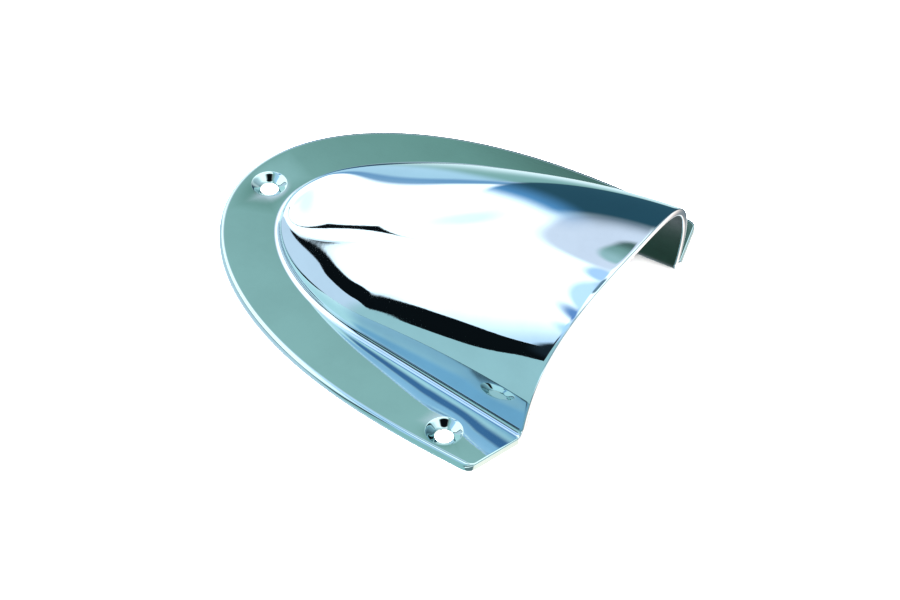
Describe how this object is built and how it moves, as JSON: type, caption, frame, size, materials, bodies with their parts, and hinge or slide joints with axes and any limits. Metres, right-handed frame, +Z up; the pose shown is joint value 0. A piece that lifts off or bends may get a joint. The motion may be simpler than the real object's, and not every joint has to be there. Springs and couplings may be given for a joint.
{
  "type": "cowl vent",
  "caption": "Low clam-shell cowl vent: a thin chromed hood, open at one end, on a flat horseshoe flange with countersunk screw holes. It covers a hole in a deck or hull side.",
  "frame": {"origin": "centre of the vent's length and width, on the mounting face (the underside of the flange)", "axes": "+Z up, away from the surface it is screwed to; the open mouth faces -Y and the closed nose points to +Y; +X is the right wing seen from the mouth"},
  "size_m": [0.098, 0.112, 0.038],
  "materials": {
    "flange_chrome": "mirror polished",
    "hood_chrome": "mirror polished"
  },
  "bodies": {
    "root": {"flange": "flange_chrome", "hood": "hood_chrome"}
  },
  "joints": []
}
